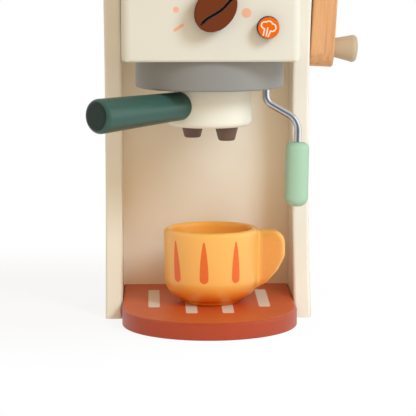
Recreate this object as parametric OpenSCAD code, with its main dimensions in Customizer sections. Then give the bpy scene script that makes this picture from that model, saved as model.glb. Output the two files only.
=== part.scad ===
// Wooden toy coffee maker: an open bay between two hollow-curved side panels,
// a boxed housing that overhangs a D-shaped base, and a set of play controls.
// Millimetres. +X is the toy's own left-to-right seen from the front, +Y runs
// to its back, +Z is up. The origin is the middle of the footprint, on the
// surface that the toy stands on.

/* [Body] */
// Width over both side panels
body_w = 145; // [130:1:180]
// Depth of the footprint, from the front of the base to the back
body_depth = 161; // [155:1:200]
// Height of the side panels
body_h = 262; // [255:1:320]
// Thickness of a side panel
panel_t = 12; // [10:0.5:16]
// Thickness of the back panel
back_t = 8; // [7:0.5:12]
// Thickness of the base board
base_t = 12; // [9:0.5:16]
// Depth of a side panel where it meets the ground
foot_depth = 80; // [70:1:95]
// How far the front edge of a side panel is hollowed
hollow_depth = 36; // [20:1:40]
// Height over which the hollow edge comes forward again
hollow_h = 242; // [220:1:250]
// Rounding of the board edges
edge_r = 2; // [1:0.5:2.5]

/* [Housing] */
// Height of the housing's underside
housing_z = 185; // [175:1:195]
// Thickness of the housing's floor and cheeks
housing_wall = 9; // [8:0.5:12]
// Thickness of the housing's front board
front_t = 12; // [10:0.5:16]
// Thickness of the top board
top_t = 12; // [9:0.5:16]
// Gap between a cheek and the side panel beside it
cheek_gap = 1.5; // [0.5:0.25:2]
// How far the housing's front stands behind the base's front
housing_setback = 2.5; // [0:0.5:8]
// Rounding of the housing's upright front edges
upright_r = 6; // [3:0.5:8]
// Rounding of the front board's lower corners, seen from the front
corner_r = 5; // [2:0.5:8]

/* [Group head] */
// Diameter of the group-head disc
head_d = 100.6; // [96:0.2:110]
// Thickness of the group-head disc
head_h = 20; // [15:1:24]
// Distance from the housing's front to the disc's centre
head_inset = 54.5; // [52:0.5:62]
// Diameter of the pivot bolt's shank
bolt_d = 5; // [4:0.5:6]

/* [Portafilter] */
// Diameter of the portafilter body
filter_d = 57.4; // [50:0.2:64]
// Height of the portafilter body
filter_h = 25.5; // [22:0.5:30]
// Angle of the handle at rest, from straight forward to the left
handle_turn = 45; // [30:1:60]
// Reach of the handle, from the pivot to its end face
handle_reach = 107; // [90:1:125]
// Angle by which the handle droops from the horizontal
handle_droop = 1.5; // [0:0.1:3]
// Handle diameter at its inner end, inside the saddle
handle_root_d = 18.6; // [16:0.2:20]
// Handle diameter at its outer end
handle_end_d = 23; // [20:0.5:26]
// Distance of a spout from the pivot
spout_offset = 16; // [14:0.5:18]
// Diameter of a spout where it meets the body
spout_root_d = 15.8; // [12:0.2:17]
// Diameter of a spout's tip
spout_tip_d = 11.6; // [7:0.2:12]
// Length of a spout below the body
spout_h = 9.3; // [7:0.1:14]

/* [Steam wand] */
// Distance from the disc's centre to the wand's stub
wand_offset = 38.6; // [37:0.1:42]
// Diameter of the wire
wire_d = 5; // [4:0.2:6]
// Height of the corner of the upper bend
knee_z = 155.5; // [152:0.5:157]
// Sideways reach of the wand from its stub
wand_reach = 21.9; // [18:0.1:26]
// Slope of the middle run, from the vertical
wand_slope = 47; // [40:1:55]
// Angle by which the lower run and the grip lean back from the vertical
grip_lean = 1.2; // [0:0.1:3]
// Radius of both bends, on the wire's centre line
bend_r = 7; // [6:0.5:9]
// Diameter of the grip
grip_d = 16.2; // [14:0.1:19]
// Length of the grip
grip_l = 44.3; // [35:0.1:50]
// Height of the grip's lower end
grip_z = 82.6; // [76:0.1:88]

/* [Bean knob] */
// Length of the bean
bean_l = 32.2; // [28:0.2:38]
// Width of the bean
bean_w = 25; // [22:0.2:30]
// Thickness of the bean
bean_t = 12; // [9:0.5:15]
// Tilt of the bean's length from the horizontal at rest
bean_tilt = 52.5; // [0:0.5:90]
// Height of the bean's centre
bean_z = 219.9; // [215:0.1:225]
// Distance of the bean's centre right of the middle
bean_x = 2.5; // [-4:0.1:4]
// Diameter of the bean's shaft
bean_shaft_d = 8; // [6:0.5:10]

/* [Steam button] */
// Diameter of the button
button_d = 14; // [11:0.5:16]
// How far the button stands out of the front board
button_proud = 8.5; // [5.5:0.5:9]
// Travel of the button
button_travel = 4; // [2:0.5:4.5]
// Distance of the button right of the middle
button_x = 36.8; // [30:0.2:38]
// Height of the button's centre
button_z = 207.5; // [204:0.5:211]
// Gap round the button in the counterbore that it stands in
well_gap = 0.45; // [0.3:0.05:1]

/* [Crank] */
// Height of the crank's pivot
crank_z = 238; // [226:0.5:238]
// Distance from the back of the panels to the pivot
crank_inset = 30.5; // [26:0.5:44]
// Distance from the pivot to the knob
crank_l = 49.8; // [44:0.1:64]
// Angle of the arm at rest, from straight down to the back
crank_turn = 0; // [0:1:60]
// Angle by which the axle droops towards the arm
axle_droop = 3.2; // [2:0.1:4]
// Width of the arm
arm_w = 28; // [22:0.5:30]
// Thickness of the arm
arm_t = 17.2; // [12:0.2:18]
// Gap between the side panel and the arm's free end
arm_gap = 0.4; // [0.4:0.1:3]
// Diameter of the axle
axle_d = 10; // [8:0.5:12]
// Length of the crank knob
knob_l = 17.4; // [14:0.1:24]
// Diameter of the crank knob at the arm
knob_root_d = 13.5; // [11:0.2:15]
// Largest diameter of the crank knob
knob_d = 19.4; // [17:0.1:24]

/* [Cup] */
// Height of the cup
cup_h = 52.5; // [46:0.5:58]
// Diameter over the rim
cup_d = 66.6; // [60:0.2:72]
// Thickness of the rim
rim_t = 5.8; // [4:0.2:7]
// Diameter of the foot
cup_foot_d = 39.6; // [34:0.2:46]
// Distance of the cup's centre right of the middle
cup_x = 2; // [-4:0.5:4]
// Distance of the cup's centre behind the middle
cup_y = 1.5; // [-10:0.5:10]
// Thickness of the cup's handle
ear_t = 14; // [10:0.5:18]

/* [Fits] */
// Radial clearance of a turning or sliding fit
run_fit = 0.05; // [0.03:0.01:0.08]
// Radial clearance of a glued or pressed fit
press_fit = 0.02; // [0:0.01:0.03]
// Gap between faces that pass each other
face_gap = 0.3; // [0.2:0.05:0.5]
// Diameter of the frame's wooden dowels
dowel_d = 5; // [4:0.5:5]

/* [Hidden] */
$fn = 72;

cream = "#EDE6D0";
terracotta = "#C05A32";
grey = "#A8A69E";
green = "#4F6F64";
brown = "#7A3F22";
spout_brown = "#6B4F40";
mint = "#A9CDAC";
orange = "#EE7A1E";
cup_orange = "#FFB85C";
beech = "#E2A873";
latte = "#C9B090";
bright_steel = "#C9CCCF";
pale_wood = "#D9B98A";
nylon = "#F1EFE6";

eps = 0.01;
cut = 1;                // how far a cutting tool reaches past a face
edge_steps = 4;         // straight steps in a rounded edge of a skinned piece

// Main planes
inner_half = body_w/2 - panel_t;
front_y = -body_depth/2;
back_y = body_depth/2;
back_face_y = back_y - back_t;
toe_y = back_y - foot_depth;
top_z = body_h - top_t;

// Hollow front edge of the side panels: one arc through the toe
hollow_r = (pow(hollow_h/2, 2) + pow(hollow_depth, 2))/(2*hollow_depth);
hollow_y = toe_y + hollow_depth - hollow_r;
hollow_z = hollow_h/2;
horn = 16;              // how far the panel blank reaches in front of the toe
function panel_edge_y(z) = hollow_y + sqrt(pow(hollow_r, 2) - pow(z - hollow_z, 2));

// Housing
housing_half = inner_half - cheek_gap;
housing_front_y = front_y + housing_setback;
housing_inner_y = housing_front_y + front_t;
housing_h = body_h - housing_z;
floor_top_z = housing_z + housing_wall;
cheek_lap = 4;          // how far a cheek runs back inside the side panel
cheek_back_y = panel_edge_y(floor_top_z) + cheek_lap;

// Frame dowels
dowel_l = 24;
dowel_in_panel = 8;
dowel_base_ys = [toe_y + 24, back_face_y - 12];
dowel_floor_ys = [back_face_y - 30, back_face_y - 10];
dowel_top_ys = [10, back_face_y - 12];
dowel_back_zs = [60, 130, 200];

// Group head and portafilter
head_y = housing_front_y + head_inset;
head_z = housing_z - head_h;
washer_t = 0.8;
filter_slack = 0.1;     // lift that the portafilter has on its bolt
filter_top_z = head_z - washer_t - filter_slack;
filter_z = filter_top_z - filter_h;
handle_lift = handle_reach*sin(handle_droop);  // rise of its axis at the pivot
bolt_head_d = 10;
bolt_head_h = 3.5;
bolt_recess_d = 12.5;
bolt_recess_h = 6;
bolt_seat_z = filter_z + bolt_recess_h - filter_slack;
bolt_tail = 5.5;        // how far the bolt stands out of the housing's floor
handle_dowel_d = 8;
handle_dowel_l = 24;
tenon_d = 7;
tenon_l = 6;
head_screw_d = 3.5;
head_screw_l = 22;
head_screw_offset = 36;

// Steam wand
wand_run = (wand_reach - 2*bend_r*(1 - cos(wand_slope)))/sin(wand_slope);
upper_bend_z = knee_z + bend_r*tan(wand_slope/2);
lower_bend_z = upper_bend_z - 2*bend_r*sin(wand_slope) - wand_run*cos(wand_slope);
lower_run = lower_bend_z - grip_z;  // from the lower bend to the grip's tip
wand_top_z = floor_top_z + 5;
bend_thin = 0.04;       // how much thinner the wire is in its bends
bend_lap = 0.3;         // how far a straight run reaches into a bend
grip_socket = 20;       // how deep the wire sits in the grip
retainer_d = 13;
retainer_t = 3;

// Bean knob and button
bean_edge_r = 1;
bean_socket = 7;
bean_shaft_out = 6;     // how far the shaft stands out inside the housing
bean_retainer_d = 18;
bean_retainer_t = 3;
groove_w = 1.8;
groove_d = 2;
groove_ends = [-13, 12];
groove_shift = -2;      // how far the groove lies to one side of the bean's middle
groove_turn = -14;      // angle between the groove and the bean's length
groove_sway = 0.7;
groove_wave = 22;       // length of one full wave of the sway
groove_low = 1.5;       // where along the bean the wave dips
well_depth = 3;
button_pin_d = 7;
flange_d = 19;
flange_t = 2.5;
spring_l = 12;
spring_wire = 0.9;
spring_d = 10;          // to the middle of the wire
spring_turns = 6;
block_w = 22;
block_t = 10;
block_above = 8;        // how far the block rises over the button's centre
stop_gap = 1;           // left between pin and block with the button pushed in
button_pin_l = flange_t + spring_l - button_travel - stop_gap;
flange_y = housing_inner_y + filter_slack;
block_y = flange_y + flange_t + spring_l;

// Crank
crank_y = back_y - crank_inset;
panel_outer = body_w/2;
arm_x = panel_outer + arm_gap + (crank_l + arm_w/2)*sin(axle_droop);
bush_d = 14;
bush_flange_d = 20;
bush_flange_t = 1.5;
spacer_d = 24;
collar_d = 20;
collar_t = 6;
collar_gap = face_gap + collar_d/2*sin(axle_droop);
axle_in = 8;            // how far the axle stands out inside the side panel
arm_edge_r = 1.5;
knob_screw_d = 4;
knob_screw_head_d = 8;
knob_screw_head_h = 2.5;
knob_screw_in_arm = 12;
knob_recess_d = 9;      // recess of the screw's head in the knob's end
knob_recess_h = 3.5;

// Cup
cup_z = base_t;
cup_wall_drop = 34.7;   // height of the straight part of the wall
cup_taper = 0.5;        // how much narrower the wall is at its lower end
belly_r = 16;
foot_ring_w = 3;
cup_floor_t = 8;
cup_recess = 1.2;       // hollow in the underside of the foot
bowl_taper = 3;         // how much narrower the hollow is at its lower end
bowl_r = 9;             // rounding between the bowl's wall and its floor
wall_z = cup_h - cup_wall_drop;
rim_z = cup_h - rim_t/2;
ear_soft_r = 4;
ear_x = cup_d/2 - 6;
// Discs that the handle is drawn round: distance from ear_x, drop from the
// cup's top, radius
ear_discs = [[2.7, 9.9, 7], [15.2, 11.9, 9], [14.7, 18, 9.2], [11.2, 25, 9], [5.7, 31.5, 8.6], [-1.3, 37, 7]];

// ---------------------------------------------------------------- helpers

// What a rounded edge takes off a square corner at the origin, with the
// material lying in +x and +y
module edge_waste(r) {
  difference() {
    translate([-cut, -cut]) square(r + cut);
    translate([r, r]) circle(r);
  }
}

// The same waste along a straight edge of length l that runs up from the origin
module straight_waste(r, l) {
  translate([0, 0, -cut]) linear_extrude(l + 2*cut) edge_waste(r);
}

// Half outline of a round bar standing on y = 0, with its lower and upper edge
// rounded
module bar_half(r, h, low_r = 0, high_r = 0) {
  difference() {
    square([r, h]);
    if (low_r > 0) translate([r, 0]) mirror([1, 0]) edge_waste(low_r);
    if (high_r > 0) translate([r, h]) rotate(180) edge_waste(high_r);
  }
}

// Where a line from point p touches the circle of radius r about c, on its
// outer side
function touch(p, c, r) = let (v = c - p, a = atan2(v[1], v[0]) - asin(r/norm(v)))
  p + sqrt(v*v - r*r)*[cos(a), sin(a)];

// Half outline of a tapered bar from radius r0 at y = y0 to radius r1 at its
// rounded end, y = h
module taper_half(r0, y0, r1, h, end_r) {
  c = [r1 - end_r, h - end_r];
  polygon([[0, y0], [r0, y0], touch([r0, y0], c, end_r), c, [c[0], h], [0, h]]);
  translate(c) circle(end_r);
}

// Closed skin over a row of rings that each hold the same number of points,
// with each ring counterclockwise as seen from the one after it
module skinned(rings) {
  n = len(rings[0]);
  last = len(rings) - 1;
  walls = [for (k = [0:last - 1], i = [0:n - 1]) let (j = (i + 1)%n)
    [k*n + i, (k + 1)*n + i, (k + 1)*n + j, k*n + j]];
  polyhedron([for (ring = rings) each ring],
    concat([[for (i = [0:n - 1]) i]], walls, [[for (i = [n - 1:-1:0]) last*n + i]]));
}

// Flat ring standing on Z = 0
module ring(d, bore, h) {
  difference() {
    cylinder(d = d, h = h);
    translate([0, 0, -cut]) cylinder(d = bore, h = h + 2*cut);
  }
}

// Cross recess for a screwdriver, cut down from Z = 0 into a head of diameter d
module cross_recess(d) {
  slot = 0.16*d;
  reach = 0.6*d;
  depth = 0.2*d;
  for (a = [0, 90]) rotate([0, 0, a]) translate([-reach/2, -slot/2, -depth])
    cube([reach, slot, depth + cut]);
}

// Puts a piece drawn along +Z so that it runs along +X or +Y
module along_x() { rotate([0, 90, 0]) children(); }
module along_y() { rotate([-90, 0, 0]) children(); }

// ------------------------------------------------------------------ frame

// One dowel or bore across the joint plane at X = inner_half
module dowel_at(y, z, d, slack) {
  translate([inner_half + dowel_in_panel + slack, y, z]) rotate([0, -90, 0])
    cylinder(d = d, h = dowel_l + 2*slack);
}

// All dowels of both side panels
module dowel_set(d, slack) {
  for (side = [0, 1]) mirror([side, 0, 0]) {
    for (y = dowel_base_ys) dowel_at(y, base_t/2, d, slack);
    for (y = dowel_floor_ys) dowel_at(y, housing_z + housing_wall/2, d, slack);
    for (y = dowel_top_ys) dowel_at(y, top_z + top_t/2, d, slack);
    for (z = dowel_back_zs) dowel_at(back_y - back_t/2, z, d, slack);
  }
}

module dowel_bores() { dowel_set(dowel_d + 2*press_fit, 0.5); }

module panel_outline() {
  difference() {
    translate([toe_y - horn, 0]) square([foot_depth + horn, body_h]);
    translate([hollow_y, hollow_z]) circle(r = hollow_r);
  }
}

// Side panel as the right one, without the crank's bore
module side_board() {
  difference() {
    translate([inner_half, 0, 0]) rotate([90, 0, 90]) linear_extrude(panel_t) panel_outline();
    // hollow front edge, both faces
    translate([inner_half, hollow_y, hollow_z]) along_x()
      rotate_extrude() translate([hollow_r, 0]) edge_waste(edge_r);
    translate([panel_outer, hollow_y, hollow_z]) rotate([0, -90, 0])
      rotate_extrude() translate([hollow_r, 0]) edge_waste(edge_r);
    // upright back edge, outer face
    translate([panel_outer, back_y, 0]) rotate([0, 0, 180]) straight_waste(edge_r, body_h);
    // top edge, outer and inner face
    translate([panel_outer, toe_y - horn, body_h]) rotate([-90, 0, 0]) rotate([0, 0, 90])
      straight_waste(edge_r, foot_depth + horn);
    translate([inner_half, toe_y - horn, body_h]) rotate([-90, 0, 0])
      straight_waste(edge_r, foot_depth + horn);
    dowel_bores();
  }
}

module left_side_panel() {
  color(cream) mirror([1, 0, 0]) side_board();
}

module right_side_panel() {
  color(cream) difference() {
    side_board();
    on_axle() translate([-panel_t - cut, 0, 0]) along_x()
      cylinder(d = bush_d + 2*press_fit, h = panel_t + 2*cut);
    // seat of the bush's flange
    on_axle() along_x() cylinder(d = bush_flange_d + 2*press_fit, h = bush_flange_t + cut);
  }
}

module back_panel() {
  color(cream) difference() {
    translate([-inner_half, back_face_y, 0]) cube([2*inner_half, back_t, top_z]);
    dowel_bores();
  }
}

// Half section of the base board, rounded along its upper and lower edge
module base_section() {
  bar_half(inner_half, base_t, edge_r/2, edge_r);
}

module base_board() {
  round_y = front_y + inner_half;
  color(terracotta) difference() {
    union() {
      translate([0, round_y, 0]) rotate([0, 0, 180]) rotate_extrude(angle = 180) base_section();
      translate([0, back_face_y, 0]) rotate([90, 0, 0]) linear_extrude(back_face_y - round_y) {
        base_section();
        mirror([1, 0]) base_section();
      }
    }
    dowel_bores();
  }
}

module frame_dowels() {
  color(pale_wood) dowel_set(dowel_d, 0);
}

// ---------------------------------------------------------------- housing

// The front board's face, seen from the front, with its lower corners rounded
module front_face() {
  difference() {
    translate([-housing_half, housing_z]) square([2*housing_half, housing_h]);
    for (side = [0, 1]) mirror([side, 0])
      translate([-housing_half, housing_z]) edge_waste(corner_r);
  }
}

module housing_front() {
  color(cream) difference() {
    translate([0, housing_inner_y, 0]) rotate([90, 0, 0]) linear_extrude(front_t) front_face();
    // upright front edges
    for (side = [0, 1]) mirror([side, 0, 0])
      translate([-housing_half, housing_front_y, housing_z]) straight_waste(upright_r, housing_h);
    // lower and upper front edges
    translate([-housing_half, housing_front_y, housing_z]) rotate([90, 0, 90])
      straight_waste(edge_r, 2*housing_half);
    translate([housing_half, housing_front_y, body_h]) rotate([-90, 0, -90])
      straight_waste(edge_r, 2*housing_half);
    translate([bean_x, housing_front_y - cut, bean_z]) along_y()
      cylinder(d = bean_shaft_d + 2*run_fit, h = front_t + 2*cut);
    translate([button_x, housing_front_y - cut, button_z]) along_y()
      cylinder(d = button_d + 2*run_fit, h = front_t + 2*cut);
    translate([button_x, housing_front_y - cut, button_z]) along_y()
      cylinder(d = button_d + 2*well_gap, h = well_depth + cut);
  }
}

// A board of the housing: narrow in front of the side panels, full width
// between them from wide_y on
module housing_plate(z, t, wide_y) {
  translate([0, 0, z]) linear_extrude(t) {
    translate([-housing_half, housing_inner_y])
      square([2*housing_half, back_face_y - housing_inner_y]);
    translate([-inner_half, wide_y]) square([2*inner_half, back_face_y - wide_y]);
  }
}

module head_screw_bores(d) {
  for (side = [-1, 1]) translate([0, head_y + side*head_screw_offset, floor_top_z - head_screw_l])
    cylinder(d = d, h = head_screw_l + cut);
}

module housing_floor() {
  color(cream) difference() {
    housing_plate(housing_z, housing_wall, panel_edge_y(floor_top_z) + cut);
    translate([0, head_y, housing_z - cut]) cylinder(d = bolt_d + 2*press_fit, h = housing_wall + 2*cut);
    translate([wand_offset, head_y, housing_z - cut])
      cylinder(d = wire_d + 2*run_fit, h = housing_wall + 2*cut);
    head_screw_bores(head_screw_d + 2*press_fit);
    dowel_bores();
  }
}

// Cheek as the right one
module cheek() {
  translate([housing_half - housing_wall, housing_inner_y, floor_top_z])
    cube([housing_wall, cheek_back_y - housing_inner_y, top_z - floor_top_z]);
}

module housing_left_cheek() {
  color(cream) mirror([1, 0, 0]) cheek();
}

module housing_right_cheek() {
  color(cream) cheek();
}

module housing_top() {
  color(cream) difference() {
    union() {
      housing_plate(top_z, top_t, panel_edge_y(top_z) + cut);
      translate([-inner_half, back_face_y - eps, top_z]) cube([2*inner_half, back_t + eps, top_t]);
    }
    dowel_bores();
  }
}

// ------------------------------------------------------------- group head

module group_head() {
  rim_r = 1.5;
  color(grey) translate([0, head_y, head_z]) difference() {
    rotate_extrude() bar_half(head_d/2, head_h, rim_r);
    translate([0, 0, -cut]) cylinder(d = bolt_d + 2*press_fit, h = head_h + 2*cut);
    translate([wand_offset, 0, -cut]) cylinder(d = wire_d + 2*run_fit, h = head_h + 2*cut);
    translate([0, -head_y, -head_z]) head_screw_bores(head_screw_d + 2*press_fit);
  }
}

module group_head_screws() {
  top_d = 7;
  top_h = 2;
  color(bright_steel)
    for (side = [-1, 1]) translate([0, head_y + side*head_screw_offset, floor_top_z]) {
      translate([0, 0, -head_screw_l]) cylinder(d = head_screw_d, h = head_screw_l + eps);
      difference() {
        rotate_extrude() bar_half(top_d/2, top_h, 0, 0.8);
        translate([0, 0, top_h]) cross_recess(top_d);
      }
    }
}

// Bolt with a hexagon socket, that carries the portafilter on its head
module pivot_bolt() {
  socket_w = 4.6;       // across the corners
  socket_h = 2;
  color(bright_steel) translate([0, head_y, 0]) {
    translate([0, 0, bolt_seat_z - bolt_head_h]) difference() {
      rotate_extrude() bar_half(bolt_head_d/2, bolt_head_h, 1);
      translate([0, 0, -cut]) cylinder(d = socket_w, h = socket_h + cut, $fn = 6);
    }
    translate([0, 0, bolt_seat_z - eps])
      cylinder(d = bolt_d, h = floor_top_z + bolt_tail - bolt_seat_z + eps);
  }
}

module pivot_washer() {
  washer_d = 22;
  color(nylon) translate([0, head_y, head_z - washer_t]) ring(washer_d, bolt_d + 2*press_fit, washer_t);
}

module pivot_nut() {
  nut_w = 9.2;          // across the corners
  nut_h = 4.5;
  color(bright_steel) translate([0, head_y, floor_top_z]) difference() {
    cylinder(d = nut_w, h = nut_h, $fn = 6);
    translate([0, 0, -cut]) cylinder(d = bolt_d + 2*press_fit, h = nut_h + 2*cut, $fn = 72);
  }
}

// ------------------------------------------------------------ portafilter

// Puts a piece drawn about the pivot, with the handle forward, to its rest
module on_pivot() {
  translate([0, head_y, filter_z]) rotate([0, 0, -handle_turn]) children();
}

// Puts a piece drawn along +Z on the drooping axis of the handle
module on_handle() {
  translate([0, 0, filter_h/2 + handle_lift]) rotate([90 + handle_droop, 0, 0]) children();
}

module portafilter_body() {
  foot_r = 3.5;
  shoulder_r = 0.8;
  r = filter_d/2;
  color(cream) on_pivot() difference() {
    rotate_extrude() bar_half(r, filter_h, foot_r, shoulder_r);
    translate([0, 0, -cut]) cylinder(d = bolt_d + 2*run_fit, h = filter_h + 2*cut);
    translate([0, 0, -cut]) cylinder(d = bolt_recess_d, h = bolt_recess_h + cut);
    // socket of the handle's dowel
    on_handle() translate([0, 0, r - handle_dowel_l/2])
      cylinder(d = handle_dowel_d + 2*press_fit, h = handle_dowel_l);
    // sockets of the spouts' tenons
    for (side = [-1, 1]) translate([side*spout_offset, 0, -cut])
      cylinder(d = tenon_d + 2*press_fit, h = tenon_l + cut + press_fit);
  }
}

module portafilter_handle() {
  saddle = 8;           // how far the handle reaches round the body
  end_r = 4;
  body_r = filter_d/2;
  color(green) on_pivot() difference() {
    on_handle() rotate_extrude()
      taper_half(handle_root_d/2, body_r - saddle, handle_end_d/2, handle_reach, end_r);
    // saddle that fits the round body
    translate([0, 0, -filter_h]) cylinder(r = body_r + press_fit, h = 3*filter_h, $fn = 144);
    on_handle() translate([0, 0, body_r - cut])
      cylinder(d = handle_dowel_d + 2*press_fit, h = handle_dowel_l/2 + cut + press_fit);
  }
}

module handle_dowel() {
  color(pale_wood) on_pivot() on_handle()
    translate([0, 0, filter_d/2 - handle_dowel_l/2 + press_fit])
      cylinder(d = handle_dowel_d, h = handle_dowel_l - press_fit);
}

// Tapered spout with a tenon, hanging from the body's underside
module spout(side) {
  tip_r = 1.5;
  color(spout_brown) on_pivot() translate([side*spout_offset, 0, 0]) {
    mirror([0, 0, 1]) rotate_extrude() taper_half(spout_root_d/2, 0, spout_tip_d/2, spout_h, tip_r);
    translate([0, 0, -eps]) cylinder(d = tenon_d, h = tenon_l + eps);
  }
}

module left_spout() { spout(-1); }

module right_spout() { spout(1); }

// ------------------------------------------------------------- steam wand

module on_wand() {
  translate([wand_offset, head_y, 0]) children();
}

// Straight wire of length l that hangs from the origin and reaches a little
// into the bend above it, and into one below it if there is one
module wire_run(l, below = 0) {
  translate([0, 0, -l - below]) cylinder(d = wire_d, h = l + below + bend_lap);
}

// Bend that leads the hanging wire off towards +X (side 1) or back (side -1)
module wire_bend(side, angle) {
  translate([side*bend_r, 0, 0]) rotate([90*side, 0, 0]) rotate([0, 0, side > 0 ? 180 : 0])
    rotate_extrude(angle = angle) translate([bend_r, 0]) circle(d = wire_d - bend_thin, $fn = 48);
}

// Hangs a piece from the end of such a bend
module past_bend(side, angle) {
  translate([side*bend_r, 0, 0]) rotate([0, -side*angle, 0])
    translate([-side*bend_r, 0, 0]) children();
}

module on_middle_run() {
  on_wand() translate([0, 0, upper_bend_z]) past_bend(1, wand_slope) children();
}

module on_lower_run() {
  on_middle_run() translate([0, 0, -wand_run]) past_bend(-1, wand_slope + grip_lean) children();
}

module wand_wire() {
  color(bright_steel) {
    on_wand() translate([0, 0, upper_bend_z]) {
      translate([0, 0, -bend_lap]) cylinder(d = wire_d, h = bend_lap + wand_top_z - upper_bend_z);
      wire_bend(1, wand_slope);
    }
    on_middle_run() {
      wire_run(wand_run, bend_lap);
      translate([0, 0, -wand_run]) wire_bend(-1, wand_slope + grip_lean);
    }
    on_lower_run() wire_run(lower_run - grip_l + grip_socket);
  }
}

module wand_grip() {
  tip_r = 6.5;
  shoulder_r = 4.5;
  color(mint) on_lower_run() translate([0, 0, -lower_run]) difference() {
    rotate_extrude() bar_half(grip_d/2, grip_l, tip_r, shoulder_r);
    translate([0, 0, grip_l - grip_socket]) cylinder(d = wire_d + 2*press_fit, h = grip_socket + cut);
  }
}

module wand_retainer() {
  color(bright_steel) on_wand() translate([0, 0, floor_top_z + filter_slack])
    ring(retainer_d, wire_d + 2*press_fit, retainer_t);
}

// -------------------------------------------------------------- bean knob

// Frame of the bean: its back face at the housing's front, turned to its rest
module on_bean() {
  translate([bean_x, housing_front_y - face_gap, bean_z]) rotate([90, 0, 0])
    rotate([0, 0, bean_tilt]) children();
}

// Oval ring of the bean at height z, drawn in from its full outline
function bean_ring(z, inset) =
  [for (a = [0:6:354]) [(bean_l/2 - inset)*cos(a), (bean_w/2 - inset)*sin(a), z]];

// Point of the groove's middle line at the distance u along the bean
function groove_at(u) =
  [u, groove_shift + u*tan(groove_turn) - groove_sway*cos(360*(u - groove_low)/groove_wave)];

// Wavy groove along the bean, as a band about its middle line
module bean_groove() {
  line = [for (u = [groove_ends[0]:groove_ends[1]]) groove_at(u)];
  last = len(line) - 1;
  polygon(concat([for (p = line) p + [0, groove_w/2]],
    [for (i = [last:-1:0]) line[i] - [0, groove_w/2]]));
}

module bean_knob() {
  back_r = bean_edge_r/2;
  back_edge = [for (i = [0:edge_steps]) let (a = 90*i/edge_steps)
    bean_ring(back_r*(1 - cos(a)), back_r*(1 - sin(a)))];
  front_edge = [for (i = [0:edge_steps]) let (a = 90*i/edge_steps)
    bean_ring(bean_t - bean_edge_r*(1 - sin(a)), bean_edge_r*(1 - cos(a)))];
  color(brown) on_bean() difference() {
    skinned(concat(back_edge, front_edge));
    translate([0, 0, bean_t - groove_d]) linear_extrude(groove_d + cut) bean_groove();
    translate([0, 0, -cut]) cylinder(d = bean_shaft_d + 2*press_fit, h = bean_socket + cut);
  }
}

module bean_shaft() {
  color(pale_wood) on_bean() translate([0, 0, -face_gap - front_t - bean_shaft_out])
    cylinder(d = bean_shaft_d, h = face_gap + front_t + bean_shaft_out + bean_socket);
}

module bean_retainer() {
  color(pale_wood) on_bean() translate([0, 0, -2*face_gap - front_t - bean_retainer_t])
    ring(bean_retainer_d, bean_shaft_d + 2*press_fit, bean_retainer_t);
}

// ----------------------------------------------------------- steam button

module on_button() {
  translate([button_x, 0, button_z]) children();
}

module steam_button() {
  edge = 0.8;
  stem = button_proud + front_t + filter_slack;
  color(orange) on_button() translate([0, housing_front_y - button_proud, 0]) along_y() {
    rotate_extrude() bar_half(button_d/2, stem, edge);
    translate([0, 0, stem - eps]) cylinder(d = button_pin_d, h = button_pin_l + eps);
  }
}

module button_flange() {
  color(nylon) on_button() translate([0, flange_y, 0]) along_y()
    ring(flange_d, button_pin_d + 2*press_fit, flange_t);
}

// Ring of the spring's wire at turn t (0 to 1)
function spring_ring(t, sides) = let (a = 360*spring_turns*t)
  [for (i = [0:sides - 1]) let (b = -360*i/sides, r = spring_d/2 + spring_wire/2*cos(b))
    [r*cos(a), r*sin(a), spring_wire/2*(1 + sin(b)) + (spring_l - spring_wire)*t]];

module button_spring() {
  sides = 8;
  rings = spring_turns*16;
  color(bright_steel) on_button() translate([0, flange_y + flange_t, 0]) along_y()
    skinned([for (k = [0:rings]) spring_ring(k/rings, sides)]);
}

module spring_block() {
  color(pale_wood) translate([button_x - block_w/2, block_y, floor_top_z])
    cube([block_w, block_t, button_z + block_above - floor_top_z]);
}

// ------------------------------------------------------------------ crank

// Frame of the crank's drooping axle: X runs along the axle, from the point
// where it leaves the side panel
module on_axle() {
  translate([panel_outer, crank_y, crank_z]) rotate([0, axle_droop, 0]) children();
}

// Puts a piece drawn about the pivot, arm straight down, to its rest
module on_crank() {
  on_axle() rotate([crank_turn, 0, 0]) translate([-panel_outer, 0, 0]) children();
}

// Rounded section of the arm: half its width, thickness along y
module arm_section() {
  bar_half(arm_w/2, arm_t, arm_edge_r, arm_edge_r);
}

// Round end of the arm, turned by a about the arm's thickness
module arm_end(a) {
  along_x() rotate([0, 0, a]) rotate_extrude(angle = 180) arm_section();
}

module crank_arm() {
  color(beech) on_crank() translate([arm_x, 0, 0]) difference() {
    union() {
      arm_end(90);
      translate([0, 0, -crank_l]) arm_end(-90);
      translate([0, 0, -crank_l]) linear_extrude(crank_l) rotate([0, 0, -90]) {
        arm_section();
        mirror([1, 0]) arm_section();
      }
    }
    translate([-cut, 0, 0]) along_x() cylinder(d = axle_d + 2*press_fit, h = arm_t + 2*cut);
    translate([arm_t - knob_screw_in_arm, 0, -crank_l]) along_x()
      cylinder(d = knob_screw_d + 2*press_fit, h = knob_screw_in_arm + cut);
  }
}

module crank_axle() {
  color(pale_wood) on_crank() translate([inner_half - axle_in, 0, 0]) along_x()
    cylinder(d = axle_d, h = axle_in + arm_x + arm_t - inner_half);
}

module crank_bush() {
  color(nylon) on_axle() {
    translate([-panel_t, 0, 0]) along_x() ring(bush_d, axle_d + 2*run_fit, panel_t + eps);
    along_x() ring(bush_flange_d, axle_d + 2*run_fit, bush_flange_t);
  }
}

module crank_spacer() {
  color(nylon) on_crank() translate([panel_outer + bush_flange_t + face_gap, 0, 0]) along_x()
    ring(spacer_d, axle_d + 2*press_fit, arm_x - panel_outer - bush_flange_t - face_gap);
}

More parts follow.
